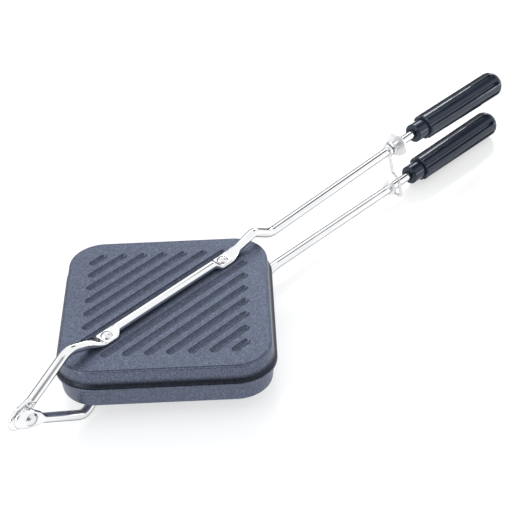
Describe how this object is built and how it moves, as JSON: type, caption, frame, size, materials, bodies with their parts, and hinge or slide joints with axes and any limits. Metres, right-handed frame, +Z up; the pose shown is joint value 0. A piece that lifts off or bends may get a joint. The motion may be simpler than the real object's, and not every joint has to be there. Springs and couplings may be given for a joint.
{
  "type": "stovetop sandwich maker",
  "caption": "Long-handled stovetop sandwich maker: hinged square grooved pans riveted to steel rods with fluted grips and a wire hook that keeps them shut.",
  "frame": {"origin": "under the middle of the closed pans, on the table that the front hump and the lower grip stand on", "axes": "+X along the rods from the hinge to the grips, +Y to the hinge washer's side, +Z up from the table with the pans lying closed"},
  "size_m": [0.4691, 0.165, 0.0512],
  "materials": {
    "pan_coat": "dark non-stick coating with a fine metallic speckle",
    "rod_chrome": "bright plated round steel",
    "grip_bakelite": "glossy black moulding",
    "insert_brass": "turned",
    "rivet_steel": "bright domed heads",
    "hinge_steel": "bright",
    "hook_wire": "drawn wire",
    "ring_steel": "bright plated"
  },
  "bodies": {
    "lower_half": {"lower_pan": "pan_coat", "lower_rod": "rod_chrome", "lower_grip": "grip_bakelite", "lower_grip_insert": "insert_brass", "lower_front_rivet": "rivet_steel", "lower_rear_rivet": "rivet_steel", "lower_rivet_washers": "rivet_steel", "hinge_rivet": "hinge_steel", "hinge_spacer": "hinge_steel", "hinge_washer": "hinge_steel", "stop_collar": "ring_steel"},
    "upper_half": {"upper_pan": "pan_coat", "upper_rod": "rod_chrome", "upper_grip": "grip_bakelite", "upper_grip_insert": "insert_brass", "upper_front_rivet": "rivet_steel", "upper_rear_rivet": "rivet_steel", "upper_rivet_washers": "rivet_steel", "latch_disc": "ring_steel", "latch_collar": "ring_steel"},
    "latch": {"latch_hook": "hook_wire"}
  },
  "joints": [
    {"name": "main_hinge", "type": "hinge", "parent": "lower_half", "child": "upper_half", "pos_m": [-0.1134, 0.0008, 0.02494], "axis": [0, -1, 0], "range_deg": [0, 180]},
    {"name": "latch_swing", "type": "hinge", "parent": "upper_half", "child": "latch", "pos_m": [0.2184, 0.0008, 0.04167], "axis": [0.9994, 0, 0.0339], "range_deg": [-300, 5]}
  ]
}
